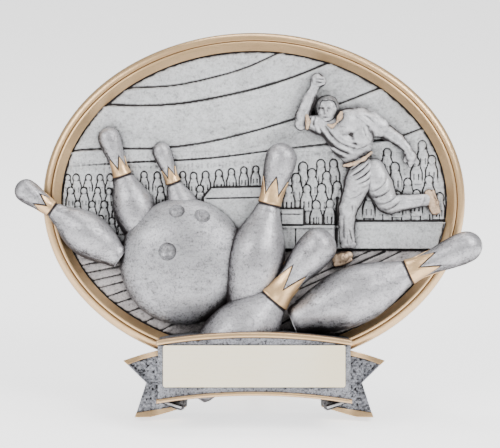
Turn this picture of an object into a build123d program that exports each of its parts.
from build123d import *
import math
import os

# Bowling trophy: an oval high-relief plaque in cast resin, with a ribbon base and a screw-in prop peg.
#
# The plaque is drawn flat: x to the right, y up from the centre of the oval, z forward from the flat
# back face. The relief artwork has its own height, measured from the face of the field. At the end the
# whole plaque is leaned back and set on the floor, with the origin at the bottom centre of its box.

# ---- driving dimensions, mm -------------------------------------------------------------------
# oval body
oval_half_width = 98.6
oval_half_height = 78.4
backing_thickness = 5.0
field_thickness = 2.0
back_edge_chamfer = 1.0
outer_band_width = 4.3
outer_band_height = 5.6
outer_band_round = 3.2
inner_bead_width = 4.1
inner_bead_height = 7.0
crest_round = 0.9
bead_slope_width = 2.8
bead_slope_drop = 4.2

# artwork: drawn for this oval, and scaled with it; the ball and the pins spread with each half size
art_oval_half_width = 98.6
art_oval_half_height = 78.4

# ribbon base
banner_overlap = 18.4
banner_side_margin = 2.35
banner_plate_margin = 9.6
banner_arch = 3.5
banner_depth = 36.0
edge_band_top = 2.5
edge_band_bottom = 1.9
edge_band_proud = 1.2
tail_back = 7.0
tail_thickness = 7.0
tail_drop = 13.4
tail_trim_top = 1.5
tail_trim_bottom = 2.3
tail_trim_proud = 0.5
fold_width = 11.5
fold_drop = 3.8
fold_front_setback = 3.0
foot_flat = 1.0

# engraving plate
plate_length = 82.5
plate_height = 19.0
plate_thickness = 0.6
plate_corner = 1.0
plate_below_middle = 1.0
adhesive_thickness = 0.3
adhesive_margin = 1.5

# ball and pins
ball_radius = 29.5
ball_wall = 4.0
ball_dome = 16.0
finger_radius = 3.95
thumb_radius = 4.4
hole_centre_rise = 1.2
crown_proud = 0.5
crown_root = 0.7
crown_teeth = 5
web_inset = 0.5

# stand
lean = 12.0
peg_above_banner_bottom = 8.5
stud_radius = 2.95
stud_length = 13.0
thread_clearance = 0.05
insert_wall = 1.5
insert_length = 14.0
insert_flange = 1.2
insert_flange_thickness = 1.0
washer_radius = 7.0
washer_thickness = 1.2
seat_gap = 0.3
washer_bore_clearance = 0.35
peg_radius = 4.5
peg_end_radius = 3.8
peg_shoulder_radius = 6.0
peg_shoulder_length = 4.0
grip_grooves = 3
grip_groove_width = 1.2
grip_groove_depth = 0.6
spigot_radius = 2.6
spigot_length = 4.0
tip_radius = 5.5

# keyhole hanger
hanger_length = 38.0
hanger_height = 14.0
hanger_thickness = 1.2
hanger_from_top = 22.0
keyhole_radius = 4.2
keyhole_slot_radius = 2.2
keyhole_slot_length = 4.6
keyhole_pocket_depth = 4.2
keyhole_pocket_margin = 0.8
hanger_screw_spacing = 29.0
screw_radius = 1.25
screw_head_radius = 2.4
screw_length = 4.0

# ---- derived values ---------------------------------------------------------------------------
field_face = backing_thickness + field_thickness
groove_half_width = oval_half_width - outer_band_width
groove_half_height = oval_half_height - outer_band_width
opening_half_width = groove_half_width - inner_bead_width
opening_half_height = groove_half_height - inner_bead_width
art_stretch = (oval_half_width / art_oval_half_width, oval_half_height / art_oval_half_height)
art_scale = min(art_stretch)

banner_half_width = plate_length / 2 + banner_side_margin
banner_height = plate_height + banner_plate_margin
banner_top = -oval_half_height + banner_overlap
banner_bottom = banner_top - banner_height
plate_level = (banner_top + banner_bottom) / 2 - plate_below_middle
foot_level = banner_bottom - tail_drop

lean_sin = math.sin(math.radians(lean))
lean_cos = math.cos(math.radians(lean))
floor_level = tail_back * lean_sin + foot_level * lean_cos + foot_flat

peg_level = banner_bottom + peg_above_banner_bottom
insert_bore = stud_radius + thread_clearance
insert_radius = insert_bore + insert_wall
washer_face = -seat_gap
peg_face = washer_face - washer_thickness - seat_gap
tip_centre = (peg_level * lean_cos - tip_radius - floor_level) / lean_sin
hanger_level = oval_half_height - hanger_from_top

# A regulation pin: height above its base and diameter, in inches, from the base to the crown.
pin_height = 15.0
pin_base_diameter = 2.25
pin_table = (
    (0.75, 2.83), (2.25, 3.91), (4.5, 4.77), (5.88, 4.56), (7.25, 3.70),
    (8.63, 2.47), (10.0, 1.80), (10.9, 1.87), (12.6, 2.41), (13.5, 2.55), (14.55, 1.85),
)

# Each pin in the artwork: base centre, head tip, height of its axis above the field at the base and at
# the head, fullness against a regulation pin, and the share of its length where the crown starts and
# where its teeth end.
pins = {
    "pin_1": ((-62.0, -26.8), (-110.0, 7.6), (6.5, 7.5), 1.08, 0.66, 0.80),
    "pin_2": ((-49.3, -22.7), (-69.3, 33.9), (0.5, 3.0), 1.02, 0.60, 0.76),
    "pin_3": ((-26.3, -21.7), (-44.7, 26.9), (0.0, 2.5), 0.98, 0.61, 0.77),
    "pin_4": ((-6.0, -53.1), (14.3, 26.4), (8.5, 7.0), 1.04, 0.64, 0.80),
    "pin_5": ((-28.8, -88.2), (34.9, -15.1), (11.6, 12.6), 1.06, 0.58, 0.77),
    "pin_6": ((17.9, -56.5), (104.6, -18.4), (9.0, 13.5), 0.90, 0.61, 0.77),
}

pins_over_rim = ("pin_1", "pin_6")
banner_front = ("banner_panel", "banner_top_edge", "plate_adhesive", "engraving_plate")
groups = ("crowd", "hanger_screws", "tail_trim", "ceiling_band")

ball_centre = (-33.0, -28.4)
thumb_place = (-6.75, 4.9)
finger_places = ((-2.65, 23.6), (9.2, 21.5))


# ---- small helpers ----------------------------------------------------------------------------
def largest(shape, share):
    """The solids of a shape, without the crumbs that a cut leaves."""
    found = sorted(shape.solids(), key=lambda solid: solid.volume, reverse=True)
    kept = [solid for solid in found if solid.volume > share * found[0].volume]
    return kept[0] if len(kept) == 1 else Compound(kept)


def boxes_meet(first, second):
    """Whether two boxes overlap."""
    return all(
        getattr(first.min, axis) < getattr(second.max, axis)
        and getattr(second.min, axis) < getattr(first.max, axis)
        for axis in ("X", "Y", "Z")
    )


def placed(point):
    """A place in the artwork that keeps its share of the oval each way."""
    return tuple(value * stretch / art_scale for value, stretch in zip(point, art_stretch))


def plate(points, low, high):
    """A flat outline with straight sides, from one height to another."""
    return Pos(0, 0, low) * extrude(make_face(Polyline(*points, close=True)), amount=high - low)


def oval(half_width, half_height, low, high):
    return Pos(0, 0, low) * extrude(Ellipse(half_width, half_height), amount=high - low)


def joined(shapes):
    first, *rest = shapes
    return first.fuse(*rest) if rest else first


def limb(*stations):
    """A rounded limb through balls given as x, y, height and radius."""
    shapes = [Pos(x, y, z) * Sphere(radius) for x, y, z, radius in stations]
    for start, end in zip(stations, stations[1:]):
        a, b = Vector(*start[:3]), Vector(*end[:3])
        where = Plane(origin=a, z_dir=b - a)
        if start[3] == end[3]:
            shapes.append(Solid.make_cylinder(start[3], (b - a).length, where))
        else:
            shapes.append(Solid.make_cone(start[3], end[3], (b - a).length, where))
    return joined(shapes)


def above_field(shape):
    """The part of a shape that stands in front of the field, in artwork heights."""
    return shape & (Pos(0, 0, 60) * Box(400, 400, 120))


def to_plaque(shape):
    """Artwork to plaque: scaled with the oval, and set on the field."""
    return Pos(0, 0, field_face) * scale(shape, by=art_scale)


# ---- oval body --------------------------------------------------------------------------------
def make_backing_plate():
    body = oval(oval_half_width, oval_half_height, 0, backing_thickness)
    body = chamfer(body.edges().group_by(Axis.Z)[0], back_edge_chamfer)
    body -= Pos(0, hanger_level, 0) * hanger_blank()
    pocket_length = keyhole_slot_length + 2 * (keyhole_radius + keyhole_pocket_margin)
    pocket = extrude(
        SlotOverall(pocket_length, 2 * (keyhole_radius + keyhole_pocket_margin), rotation=90),
        amount=keyhole_pocket_depth,
    )
    body -= Pos(0, hanger_level + keyhole_slot_length / 2, 0) * pocket
    for screw in hanger_screw_shapes():
        body -= screw
    return body


def make_rim_outer_band():
    top = backing_thickness + outer_band_height
    ring = oval(oval_half_width, oval_half_height, backing_thickness, top)
    ring -= oval(groove_half_width, groove_half_height, backing_thickness, top)
    edges = ring.edges().group_by(Axis.Z)[-1].sort_by(SortBy.LENGTH)
    ring = fillet(edges[-1], outer_band_round)
    inner = ring.edges().group_by(Axis.Z)[-1].sort_by(SortBy.LENGTH)[0]
    return fillet(inner, min(crest_round, (outer_band_width - outer_band_round) * 0.8))


def make_rim_inner_bead():
    top = backing_thickness + inner_bead_height
    ring = oval(groove_half_width, groove_half_height, backing_thickness, top)
    ring -= oval(opening_half_width, opening_half_height, backing_thickness, top)
    inner = ring.edges().group_by(Axis.Z)[-1].sort_by(SortBy.LENGTH)[0]
    reference = ring.faces().sort_by(Axis.Z)[-1]
    ring = chamfer(inner, bead_slope_width, bead_slope_drop, reference=reference)
    outer = ring.edges().group_by(Axis.Z)[-1].sort_by(SortBy.LENGTH)[-1]
    return fillet(outer, min(crest_round, (inner_bead_width - bead_slope_width) * 0.6))


def field_tile(low, high):
    """The strip of the field between two levels, given in artwork units."""
    tile = oval(opening_half_width, opening_half_height, backing_thickness, field_face)
    band = Box(3 * oval_half_width, (high - low) * art_scale, 4 * backing_thickness)
    return tile & (Pos(0, (high + low) / 2 * art_scale, backing_thickness) * band)


# ---- hall: roof, spectators, wall, lane -------------------------------------------------------
lane_top = -22.8
roof_bottom = 22.8
hall_reach = 200.0
roof_lines = {
    "ceiling_band_upper": ((-110, 40), (-68.8, 44.7), (-32.8, 45.4), (-1.9, 51.5), (33.7, 63.9), (70, 80)),
    "ceiling_band_lower": (
        (-110, 21), (-72.0, 24.0), (-40.3, 24.6), (-1.9, 31.9), (38.9, 44.7), (58.9, 52.6), (100, 66),
    ),
}
roof_heights = {"ceiling_band_upper": 0.9, "ceiling_band_lower": 1.4}
roof_band_width = {"ceiling_band_upper": 9.0, "ceiling_band_lower": 5.5}


def make_ceiling_band(name):
    """A soffit of the roof: the strip under one curved line."""
    line = roof_lines[name]
    width = roof_band_width[name]
    upper = Spline(*line)
    lower = Spline(*[(x, y - width) for x, y in line])
    ends = [Line(upper @ 0, lower @ 0), Line(upper @ 1, lower @ 1)]
    return extrude(make_face([upper, lower, *ends]), amount=roof_heights[name])


def spectator(x, y, height):
    """One spectator: a round head over round shoulders."""
    head = Pos(x, y, height) * Sphere(2.1)
    chest = Pos(x, y - 4.6, 0) * extrude(Circle(2.9), amount=height)
    trunk = Pos(x, y - 7.0, height / 2) * Box(5.0, 5.0, height)
    return joined([above_field(head), chest, trunk])


crowd_rows = {
    "crowd_left": (
        (0.5, ((-87.3, 10.7), (-83.0, 10.7), (-77.7, 10.7), (-71.8, 10.7), (-67.2, 10.7))),
        (1.0, ((-85.7, 4.5), (-79.5, 4.5), (-73.4, 4.5), (-67.5, 4.0))),
        (1.5, ((-75.8, -2.0), (-70.2, -2.0))),
    ),
    "crowd_centre": (
        (0.5, ((-51.5, 12.0), (-45.1, 11.7), (-33.6, 12.0), (-28.3, 11.5), (-22.7, 12.0), (-16.3, 12.6),
               (-10.6, 13.3), (-4.8, 14.1), (0.7, 14.6), (22.8, 15.7), (31.3, 17.1), (37.4, 17.3))),
        (1.0, ((-25.1, 5.3), (19.9, 10.7), (27.8, 11.3), (33.7, 11.3), (39.2, 10.8))),
        (1.5, ((16.2, 5.0), (24.4, 5.3), (30.2, 3.9), (36.0, 3.6), (28.1, -2.1), (34.0, -2.1))),
    ),
    "crowd_right": (
        (0.5, ((62.1, 22.4), (78.5, 25.8), (70.5, 24.0))),
        (1.0, ((65.8, 16.0), (82.4, 19.4), (75.8, 17.8), (71.0, 15.0))),
        (1.5, ((63.6, 8.7), (71.9, 8.7), (81.2, 10.4), (54.0, -4.5), (59.0, -4.5), (67.5, -4.5),
               (74.0, -4.5))),
    ),
}


def make_crowd(name):
    rows = [spectator(x, y, height) for height, places in crowd_rows[name] for x, y in places]
    footing = [plate(((x - 2.6, y - 12), (x + 2.6, y - 12), (x + 2.6, y - 5), (x - 2.6, y - 5)), 0, height)
               for height, places in crowd_rows[name] for x, y in places]
    crowd = joined(rows + footing)
    window = plate(((-hall_reach, lane_top), (hall_reach, lane_top),
                    (hall_reach, roof_bottom + 9), (-hall_reach, roof_bottom + 9)), 0, 10)
    return crowd & window


def make_ledge_wall():
    wall = plate(((12.0, lane_top), (hall_reach, lane_top), (hall_reach, -9.8), (46.0, -9.8), (40.0, -11.4),
                  (12.0, -11.4)), 0, 2.0)
    cap = plate(((12.0, -13.0), (40.0, -13.0), (46.0, -11.4), (hall_reach, -11.4), (hall_reach, -9.8),
                 (46.0, -9.8), (40.0, -11.4), (12.0, -11.4)), 2.0, 2.8)
    return wall + cap


def make_ball_return():
    body = plate(((-23.7, -20), (-23.7, 1.4), (-20.0, 6.0), (3.8, 6.4), (3.8, -20)), 0, 3.0)
    return body + plate(((-23.0, -1.5), (-20.5, 1.2), (3.8, 1.6), (3.8, -1.5)), 3.0, 3.8)


def make_scoring_console():
    return plate(((4.2, -11.4), (11.6, -11.4), (23.1, -11.4), (23.1, -3.9), (12.0, -3.9), (4.2, 2.5)), 0, 3.4)


lane_boards = 9
lane_board_pitch = 6.2
board_groove = 0.5


def make_lane_floor():
    """The lane: boards that run up to the right, with fine gaps."""
    floor = field_tile(-art_oval_half_height, lane_top)
    for number in range(-lane_boards, lane_boards + 1):
        bar = Box(3 * oval_half_width, board_groove, board_groove)
        spot = Pos(18 * art_scale, (-48 + number * lane_board_pitch) * art_scale, field_face)
        floor -= spot * Rot(0, 0, 24) * bar
    return floor


# ---- ball and pins ----------------------------------------------------------------------------
def hole_in_ball(place, radius):
    """A shallow cup that points at the middle of the ball."""
    x, y = place
    rise = math.sqrt(max(ball_radius ** 2 - x * x - y * y, 1.0)) / ball_radius
    mouth = Vector(x, y, ball_wall + ball_dome * rise)
    outward = Vector(x / ball_radius, y / ball_radius, max(rise, 0.55) * ball_radius / ball_dome)
    return Plane(origin=mouth, z_dir=outward) * (Pos(0, 0, hole_centre_rise) * Sphere(radius))


def make_ball():
    """A flattened dome on a short upright wall."""
    dome = make_face([
        Line((0, 0), (ball_radius, 0)),
        Line((ball_radius, 0), (ball_radius, ball_wall)),
        EllipticalCenterArc((0, ball_wall), ball_radius, ball_dome, start_angle=0, arc_size=90),
        Line((0, ball_wall + ball_dome), (0, 0)),
    ])
    ball = revolve(Plane.XZ * dome, Axis.Z)
    for place in finger_places:
        ball -= hole_in_ball(place, finger_radius)
    ball -= hole_in_ball(thumb_place, thumb_radius)
    return Pos(*placed(ball_centre), 0) * ball


def pin_profile(length, fullness, inset=0.0):
    """Half the outline of a standing pin, closed on its axis."""
    unit = length / pin_height
    base = pin_base_diameter / 2 * unit * fullness - inset
    stations = [(d / 2 * unit * fullness - inset, h * unit) for h, d in pin_table]
    side = Spline((base, 0), *stations, (0, length - inset), tangents=((0.6, 1), (-1, 0)))
    return make_face([Line((0, 0), (base, 0)), side, Line((0, length - inset), (0, 0))])


def pin_frame(base, head, heights):
    """The frame of a lying pin: its axis runs to the head, and its own Y faces the viewer."""
    start, end = Vector(*placed(base), heights[0]), Vector(*placed(head), heights[1])
    axis = end - start
    across = Vector(-axis.Y, axis.X, 0)
    return Plane(origin=start, x_dir=across, z_dir=axis), axis.length


def make_pin(name):
    """A lying pin, with an upright web under it down to the field."""
    base, head, heights, fullness, _, _ = pins[name]
    frame, length = pin_frame(base, head, heights)
    body = revolve(Plane.XZ * pin_profile(length, fullness), Axis.Z)
    half = Plane.XZ * pin_profile(length, fullness, web_inset)
    web_depth = max(heights) + 4
    web = joined([extrude(side, amount=web_depth, dir=(0, -1, 0)) for side in (half, mirror(half, Plane.YZ))])
    limit = oval(art_oval_half_width - 4, art_oval_half_height - 4, 0, 60)
    return above_field(frame * body + ((frame * web) & limit))


def make_crown(name):
    """The toothed band round a pin's neck."""
    base, head, heights, fullness, start, tip = pins[name]
    frame, length = pin_frame(base, head, heights)
    low, high = start * length, tip * length
    tooth_root = (low + high) / 2
    sleeve = revolve(Plane.XZ * pin_profile(length, fullness, -crown_proud), Axis.Z)
    sleeve &= Pos(0, 0, (low + high) / 2) * Box(length, length, high - low)
    sleeve -= revolve(Plane.XZ * pin_profile(length, fullness, crown_root), Axis.Z)
    reach = length / 4
    gap = reach * math.tan(math.pi / crown_teeth) / 3.2
    notch = Polyline((0, tooth_root), (gap, high + 0.1), (-gap, high + 0.1), close=True)
    wedge = extrude(Plane.XZ * make_face(notch), amount=-reach)
    for number in range(crown_teeth):
        sleeve -= Rot(0, 0, 360 / crown_teeth * (number + 0.5)) * wedge
    return above_field(frame * sleeve)


# ---- bowler -----------------------------------------------------------------------------------
def make_bowler_head():
    skull = limb((33.9, 43.6, 6.2, 5.3), (33.6, 39.6, 6.4, 3.6))
    neck = limb((36.0, 38.5, 4.5, 3.2), (38.2, 35.5, 3.8, 3.4))
    return above_field(skull + neck)


def make_bowler_hair():
    cap = limb((34.4, 44.6, 5.8, 5.6), (33.0, 45.2, 6.6, 5.0))
    hairline = ((24, 44.4), (36.5, 44.4), (37.5, 40.5), (44, 40.5), (44, 55), (24, 55))
    return above_field(cap) & plate(hairline, 0, 40)


def make_bowler_collar():
    return above_field(limb((36.4, 36.2, 5.5, 2.6), (40.6, 39.8, 4.6, 2.6), (41.2, 41.5, 3.6, 2.0)))


def make_bowler_raised_arm():
    return above_field(limb((20.8, 35.0, 6.6, 3.4), (27.6, 51.4, 6.2, 2.4), (29.9, 55.8, 6.2, 3.2)))


def make_bowler_trailing_arm():
    arm = limb((57.6, 31.8, 4.4, 2.9), (64.4, 27.8, 4.4, 2.8), (70.4, 22.4, 4.0, 2.0))
    hand = limb((71.4, 21.0, 4.0, 2.2), (74.0, 17.8, 4.0, 1.7))
    return above_field(arm + hand)


def make_bowler_shirt():
    chest = limb((38.0, 35.0, 4.6, 6.6), (48.5, 37.4, 3.8, 6.2))
    front = limb((38.0, 34.0, 4.4, 6.2), (46.4, 22.6, 3.6, 6.4))
    back = limb((48.5, 37.4, 3.8, 6.2), (50.6, 25.0, 3.4, 6.2))
    middle = limb((43.0, 34.0, 4.2, 6.8), (48.4, 24.0, 3.8, 6.4))
    far_sleeve = limb((49.6, 38.0, 3.6, 5.6), (57.4, 31.8, 3.6, 3.9))
    near_sleeve = limb((37.0, 34.6, 5.0, 5.6), (28.0, 35.8, 6.4, 4.4), (23.6, 35.4, 6.8, 4.0))
    return above_field(joined([chest, front, back, middle, far_sleeve, near_sleeve]))


def make_bowler_belt():
    return above_field(limb((43.4, 16.8, 3.4, 2.3), (49.2, 18.6, 4.6, 2.8), (55.2, 22.2, 3.4, 2.3)))


def make_bowler_front_leg():
    thigh = limb((49.0, 14.0, 3.6, 7.0), (45.0, 2.0, 3.8, 5.0))
    shin = limb((45.0, 2.0, 3.8, 5.0), (43.2, -21.8, 3.0, 3.3))
    return above_field(thigh + shin)


def make_bowler_rear_leg():
    thigh = limb((54.0, 14.6, 2.8, 7.0), (61.6, -1.0, 2.8, 5.6))
    shin = limb((62.0, -1.4, 2.8, 5.2), (80.2, -0.2, 2.6, 3.4))
    return above_field(thigh + shin)


def make_bowler_front_shoe():
    return above_field(limb((44.2, -25.6, 2.4, 2.6), (41.6, -27.0, 2.2, 3.0), (38.4, -28.4, 1.8, 2.4)))


def make_bowler_rear_shoe():
    return above_field(limb((81.8, 3.0, 2.2, 2.4), (84.0, -4.4, 2.1, 2.3)))


# ---- ribbon base ------------------------------------------------------------------------------
def banner_outline(top_offset=0.0, bottom_offset=0.0):
    """The face of the ribbon: straight sides between two arched edges."""
    half = banner_half_width
    top, bottom = banner_top - top_offset, banner_bottom + bottom_offset
    return make_face([
        ThreePointArc((-half, top - banner_arch), (0, top), (half, top - banner_arch)),
        Line((half, top - banner_arch), (half, bottom - banner_arch)),
        ThreePointArc((half, bottom - banner_arch), (0, bottom), (-half, bottom - banner_arch)),
        Line((-half, bottom - banner_arch), (-half, top - banner_arch)),
    ])


def make_banner_panel():
    panel = extrude(banner_outline(), amount=banner_depth)
    return panel - peg_socket()


def make_banner_edge(name):
    """A gold band along one edge of the ribbon, proud of its face."""
    if name == "banner_top_edge":
        inner = banner_outline(top_offset=edge_band_top)
    else:
        inner = banner_outline(bottom_offset=edge_band_bottom)
    band = extrude(banner_outline() - inner, amount=edge_band_proud)
    return Pos(0, 0, banner_depth) * band


def make_fold(side):
    """The roll of ribbon that turns back under the banner."""
    centre = side * (banner_half_width - fold_width / 2 - 1.5)
    height = fold_drop + banner_arch + 6
    depth = banner_depth - fold_front_setback - tail_back
    roll = Box(fold_width, height, depth)
    roll = fillet(roll.edges().filter_by(Axis.X), min(3.0, height / 4))
    level = banner_bottom - banner_arch - fold_drop + height / 2
    return Pos(centre, level, tail_back + depth / 2) * roll


def tail_points(side):
    """The swallow tail, from the banner outwards and back: drawn for the left."""
    half = banner_half_width
    top, foot = banner_top - banner_arch, foot_level
    outline = (
        (-half + 12.0, top - 6.0), (-half, top - 6.2), (-half - 16.6, top - 11.1), (-half - 6.2, top - 21.1),
        (-half - 11.6, foot), (-half + 12.0, foot + 6.4),
    )
    return [(-side * x, y) for x, y in outline]


def make_tail(side):
    tail = plate(tail_points(side), tail_back, tail_back + tail_thickness)
    return tail - below_floor()


def make_tail_trim(side):
    """The gold bands along the upper and lower edges of a tail."""
    points = tail_points(side)
    face = tail_back + tail_thickness
    top = [points[1], points[2]]
    bottom = [points[4], points[5]]
    top_band = plate((*top, (top[1][0], top[1][1] - tail_trim_top), (top[0][0], top[0][1] - tail_trim_top)),
                     face, face + tail_trim_proud)
    bottom_band = plate((*bottom, (bottom[1][0], bottom[1][1] + tail_trim_bottom),
                         (bottom[0][0], bottom[0][1] + tail_trim_bottom)), face, face + tail_trim_proud)
    whole = plate(points, face, face + tail_trim_proud)
    return ((top_band + bottom_band) & whole) - below_floor()


def below_floor():
    """Everything under the floor, in the plaque's own frame."""
    normal = Vector(0, lean_cos, lean_sin)
    floor = Plane(origin=normal * floor_level, x_dir=(1, 0, 0), z_dir=normal)
    return floor * (Pos(0, 0, -50) * Box(6 * oval_half_width, 6 * oval_half_height, 100))


# ---- fitted pieces ----------------------------------------------------------------------------
def make_plate_adhesive():
    margins = 2 * adhesive_margin
    sheet = RectangleRounded(plate_length - margins, plate_height - margins, plate_corner)
    return Pos(0, plate_level, banner_depth) * extrude(sheet, amount=adhesive_thickness)


def make_engraving_plate():
    sheet = extrude(RectangleRounded(plate_length, plate_height, plate_corner), amount=plate_thickness)
    sheet = chamfer(sheet.edges().group_by(Axis.Z)[-1], plate_thickness / 3)
    return Pos(0, plate_level, banner_depth + adhesive_thickness) * sheet


def hanger_blank():
    return extrude(RectangleRounded(hanger_length, hanger_height, 3.0), amount=hanger_thickness)


def hanger_screw_shapes():
    """The countersunk screws, heads flush with the back of the plate."""
    head = screw_head_radius - screw_radius
    screws = []
    for side in (-1, 1):
        cone = Solid.make_cone(screw_head_radius, screw_radius, head)
        shank = Solid.make_cylinder(screw_radius, screw_length)
        screws.append(Pos(side * hanger_screw_spacing / 2, hanger_level, 0) * joined([cone, shank]))
    return screws


def make_hanger_screws():
    slot = Box(2 * screw_head_radius, 0.6, 0.8)
    return Compound([
        screw - Pos(side * hanger_screw_spacing / 2, hanger_level, 0) * slot
        for side, screw in zip((-1, 1), hanger_screw_shapes())
    ])


def make_hanger_plate():
    hole = extrude(Circle(keyhole_radius), amount=hanger_thickness)
    slot = extrude(SlotOverall(2 * (keyhole_slot_length + keyhole_slot_radius), 2 * keyhole_slot_radius,
                               rotation=90), amount=hanger_thickness)
    lower = Pos(0, -hanger_height, 0) * Box(hanger_length, 2 * hanger_height, 4 * hanger_thickness)
    plate_body = Pos(0, hanger_level, 0) * (hanger_blank() - hole - (slot - lower))
    for screw in hanger_screw_shapes():
        plate_body -= screw
    return plate_body


def backward(shape):
    """Turned round an axis that leaves the back of the banner at the peg."""
    return Pos(0, peg_level, 0) * Rot(180, 0, 0) * shape


def peg_socket():
    body = Cylinder(insert_radius, insert_length + 1.0, align=(Align.CENTER, Align.CENTER, Align.MAX))
    flange = Cylinder(insert_radius + insert_flange, insert_flange_thickness,
                      align=(Align.CENTER, Align.CENTER, Align.MAX))
    return backward(body + flange)


def make_peg_insert():
    low = (Align.CENTER, Align.CENTER, Align.MAX)
    body = Cylinder(insert_radius, insert_length, align=low)
    flange = Cylinder(insert_radius + insert_flange, insert_flange_thickness, align=low)
    return backward(body + flange - Cylinder(insert_bore, insert_length + 1, align=low))


def make_peg_washer():
    low = (Align.CENTER, Align.CENTER, Align.MIN)
    ring = Cylinder(washer_radius, washer_thickness, align=low)
    ring -= Cylinder(stud_radius + washer_bore_clearance, washer_thickness, align=low)
    return backward(Pos(0, 0, -washer_face) * ring)


def make_stand_peg():
    """The prop peg: stud, shoulder with grip grooves, tapered shaft, spigot for the tip."""
    start = -peg_face
    low = (Align.CENTER, Align.CENTER, Align.MIN)
    shaft_start = start + peg_shoulder_length
    shaft_end = tip_centre - 1.0
    stud = Pos(0, 0, start - stud_length) * Cylinder(stud_radius, stud_length + 0.1, align=low)
    shoulder = Pos(0, 0, start) * Cylinder(peg_shoulder_radius, peg_shoulder_length, align=low)
    shoulder = chamfer(shoulder.edges().filter_by(GeomType.CIRCLE), 0.5)
    shaft = Solid.make_cone(peg_radius, peg_end_radius, shaft_end - shaft_start,
                            Plane(origin=(0, 0, shaft_start), z_dir=(0, 0, 1)))
    spigot = Pos(0, 0, shaft_end) * Cylinder(spigot_radius, spigot_length, align=low)
    peg = joined([stud, shoulder, shaft, spigot])
    for number in range(grip_grooves):
        level = shaft_start + 4 + number * 3 * grip_groove_width
        ring = Cylinder(2 * peg_radius, grip_groove_width) - Cylinder(peg_radius - grip_groove_depth,
                                                                      grip_groove_width)
        peg -= Pos(0, 0, level) * ring
    return backward(peg)


def make_peg_tip():
    """The rubber tip: a ball on a short sleeve."""
    low = (Align.CENTER, Align.CENTER, Align.MIN)
    shaft_end = tip_centre - 1.0
    tip = Pos(0, 0, tip_centre) * Sphere(tip_radius)
    tip -= Pos(0, 0, shaft_end - 3 * tip_radius) * Cylinder(2 * tip_radius, 3 * tip_radius, align=low)
    return backward(tip - Pos(0, 0, shaft_end) * Cylinder(spigot_radius, spigot_length, align=low))


# ---- assembly ---------------------------------------------------------------------------------
def in_opening(shape):
    """Artwork that the rim frames ends at the opening."""
    return shape & oval(opening_half_width, opening_half_height, field_face, 60)


def body_pieces():
    """The oval body, the ribbon base and what is fitted to them. Earlier pieces keep their shape."""
    yield "peg_insert", make_peg_insert()
    yield "backing_plate", make_backing_plate()
    yield "hanger_plate", make_hanger_plate()
    yield "hanger_screws", make_hanger_screws()
    yield "rim_outer_band", make_rim_outer_band()
    yield "rim_inner_bead", make_rim_inner_bead()
    yield "ceiling_panel", field_tile(roof_bottom, art_oval_half_height)
    yield "stand_backdrop", field_tile(lane_top, roof_bottom)
    yield "lane_floor", make_lane_floor()
    yield "plate_adhesive", make_plate_adhesive()
    yield "engraving_plate", make_engraving_plate()
    yield "banner_top_edge", make_banner_edge("banner_top_edge")
    yield "banner_bottom_edge", make_banner_edge("banner_bottom_edge")
    yield "banner_panel", make_banner_panel()
    for side, word in ((-1, "left"), (1, "right")):
        yield f"banner_fold_{word}", make_fold(side) - below_floor()
        yield f"banner_tail_{word}", make_tail(side)
        yield f"tail_trim_{word}", make_tail_trim(side)


def art_pieces():
    """The relief in front of the field. Earlier pieces keep their shape."""
    yield "bowling_ball", in_opening(to_plaque(make_ball()))
    for name in ("pin_5", "pin_6", "pin_4", "pin_1", "pin_2", "pin_3"):
        fit = to_plaque if name in pins_over_rim else lambda shape: in_opening(to_plaque(shape))
        yield name, fit(make_pin(name))
        yield f"{name}_crown", fit(make_crown(name))
    for name, make in (
        ("bowler_collar", make_bowler_collar), ("bowler_head", make_bowler_head),
        ("bowler_hair", make_bowler_hair), ("bowler_raised_arm", make_bowler_raised_arm),
        ("bowler_belt", make_bowler_belt), ("bowler_shirt", make_bowler_shirt),
        ("bowler_trailing_arm", make_bowler_trailing_arm), ("bowler_front_leg", make_bowler_front_leg),
        ("bowler_rear_leg", make_bowler_rear_leg), ("bowler_front_shoe", make_bowler_front_shoe),
        ("bowler_rear_shoe", make_bowler_rear_shoe), ("scoring_console", make_scoring_console),
        ("ball_return", make_ball_return), ("ledge_wall", make_ledge_wall),
    ):
        yield name, in_opening(to_plaque(make()))
    for name in crowd_rows:
        yield name, in_opening(to_plaque(make_crowd(name)))
    for name in roof_lines:
        yield name, in_opening(to_plaque(make_ceiling_band(name)))


def settle():
    """Cuts each piece clear of those before it. Artwork inside the opening can only meet the banner."""
    settled = {}
    boxes = {}
    body_names = ()
    for group in (body_pieces, art_pieces):
        for name, shape in group():
            over_rim = name.removesuffix("_crown") in pins_over_rim
            framed = group is art_pieces and not over_rim
            passed = set(body_names) - set(banner_front) if framed else set()
            box = shape.bounding_box()
            for other, solid in settled.items():
                if other not in passed and boxes_meet(box, boxes[other]):
                    shape = shape.cut(solid)
            settled[name] = largest(shape, 0.03 if name.startswith(groups) else 0.2)
            boxes[name] = settled[name].bounding_box()
        if group is body_pieces:
            body_names = tuple(settled)
    return settled


def stand_up(pieces):
    """Leans the plaque back and sets the origin at the bottom centre of the whole."""
    leaned = {name: Rot(90 - lean, 0, 0) * shape for name, shape in pieces.items()}
    box = Compound([solid for shape in leaned.values() for solid in shape.solids()]).bounding_box()
    middle = box.center()
    return {name: Pos(-middle.X, -middle.Y, -box.min.Z) * shape for name, shape in leaned.items()}


pieces = settle()
pieces["peg_washer"] = make_peg_washer()
pieces["stand_peg"] = make_stand_peg()
pieces["peg_tip"] = make_peg_tip()

os.makedirs("parts", exist_ok=True)
for name, shape in stand_up(pieces).items():
    export_step(shape, f"parts/{name}.step")
